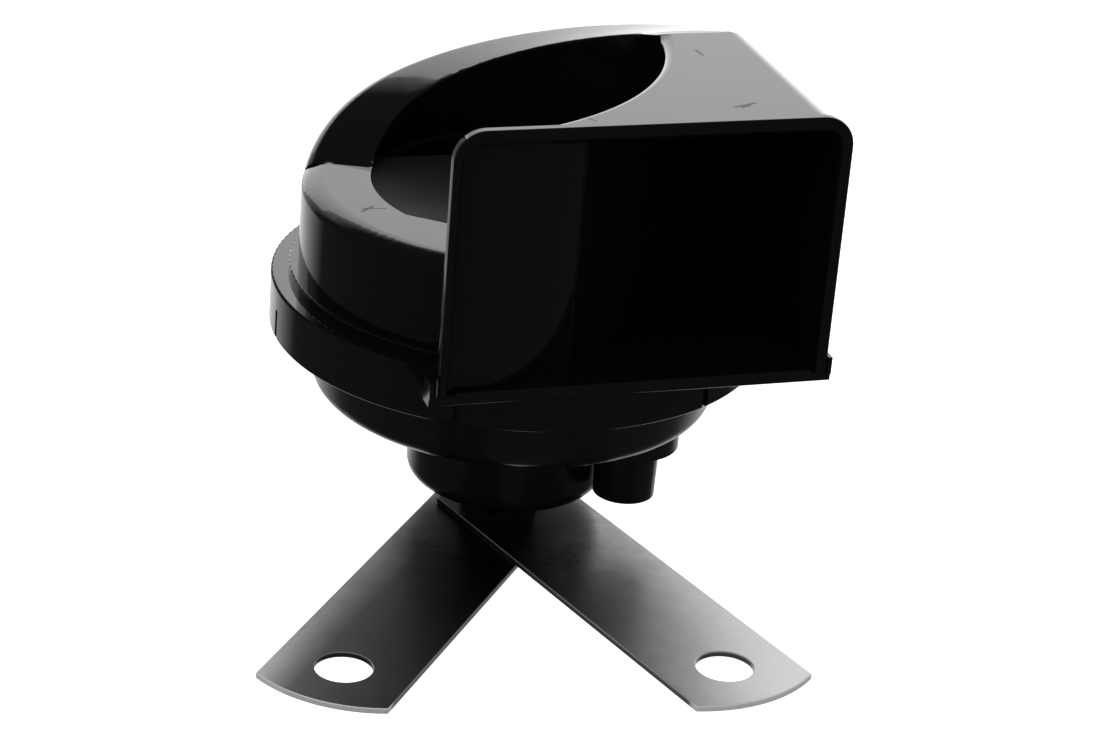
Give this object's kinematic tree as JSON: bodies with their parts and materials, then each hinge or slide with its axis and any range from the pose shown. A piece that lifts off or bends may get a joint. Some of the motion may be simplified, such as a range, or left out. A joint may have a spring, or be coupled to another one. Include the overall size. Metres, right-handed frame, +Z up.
{
  "type": "car horn",
  "caption": "Black electric snail horn for a car: round housing with a coiled gloss trumpet opening in a square mouth, on two flat drilled steel mounting strips.",
  "frame": {"origin": "centre of the bolt hole in the right mounting strip, in the strip's upper face", "axes": "+Z points up along the horn's axis and square to the strips, the mouth faces -Y, and +X is to the right as seen from in front of the mouth"},
  "size_m": [0.0945, 0.1135, 0.0931],
  "materials": {
    "gloss_black_plastic": "polished black moulding",
    "black_plastic": "fine satin black moulding",
    "black_enamel": "semi-gloss black enamel on steel",
    "gasket_paper": "dark pressed gasket paper",
    "spring_steel": "bare spring steel",
    "turned_steel": "turned steel",
    "zinc_fastener": "bright zinc plate",
    "zinc_strip": "bright rolled and plated steel strip",
    "bobbin_plastic": "natural nylon",
    "enamelled_wire": "enamelled copper wire",
    "contact_brass": "plain brass",
    "contact_tip": "tungsten contact tip",
    "tinned_brass": "tin plated brass",
    "resistor_ceramic": "fired ceramic"
  },
  "bodies": {
    "right_strip": {"bracket_right": "zinc_strip"},
    "horn": {"snail_shell": "gloss_black_plastic", "trumpet_base": "black_plastic", "housing": "black_enamel", "upper_gasket": "gasket_paper", "lower_gasket": "gasket_paper", "diaphragm": "spring_steel", "core_stud": "turned_steel", "core_nut": "zinc_fastener", "stud_nut": "zinc_fastener", "lock_washer": "zinc_fastener", "coil_bobbin": "bobbin_plastic", "coil_winding": "enamelled_wire", "adjuster_tower": "black_plastic", "adjusting_screw": "zinc_fastener", "contact_post": "contact_brass", "contact_spacer": "bobbin_plastic", "contact_rivet": "contact_brass", "fixed_contact_arm": "contact_brass", "moving_contact_arm": "spring_steel", "fixed_contact": "contact_tip", "moving_contact": "contact_tip", "terminal_block": "black_plastic", "terminal_blade_left": "tinned_brass", "terminal_blade_right": "tinned_brass", "terminal_rivets": "tinned_brass", "spark_resistor": "resistor_ceramic", "resistor_cradle": "spring_steel"},
    "left_strip": {"bracket_left": "zinc_strip"},
    "plunger": {"armature": "turned_steel", "armature_nut": "zinc_fastener"}
  },
  "joints": [
    {"name": "horn_swivel", "type": "hinge", "parent": "right_strip", "child": "horn", "pos_m": [-0.01721, 0.06164, -0.0005], "axis": [0, 0, 1], "continuous": true},
    {"name": "left_strip_swivel", "type": "hinge", "parent": "horn", "child": "left_strip", "pos_m": [-0.01721, 0.06164, -0.0015], "axis": [0, 0, 1], "continuous": true},
    {"name": "armature_stroke", "type": "slide", "parent": "horn", "child": "plunger", "axis": [0, 0, 1], "range_m": [-0.0006, 0.0003], "stiffness_N_per_m": 10000, "deforming": ["diaphragm", "moving_contact_arm"]}
  ]
}
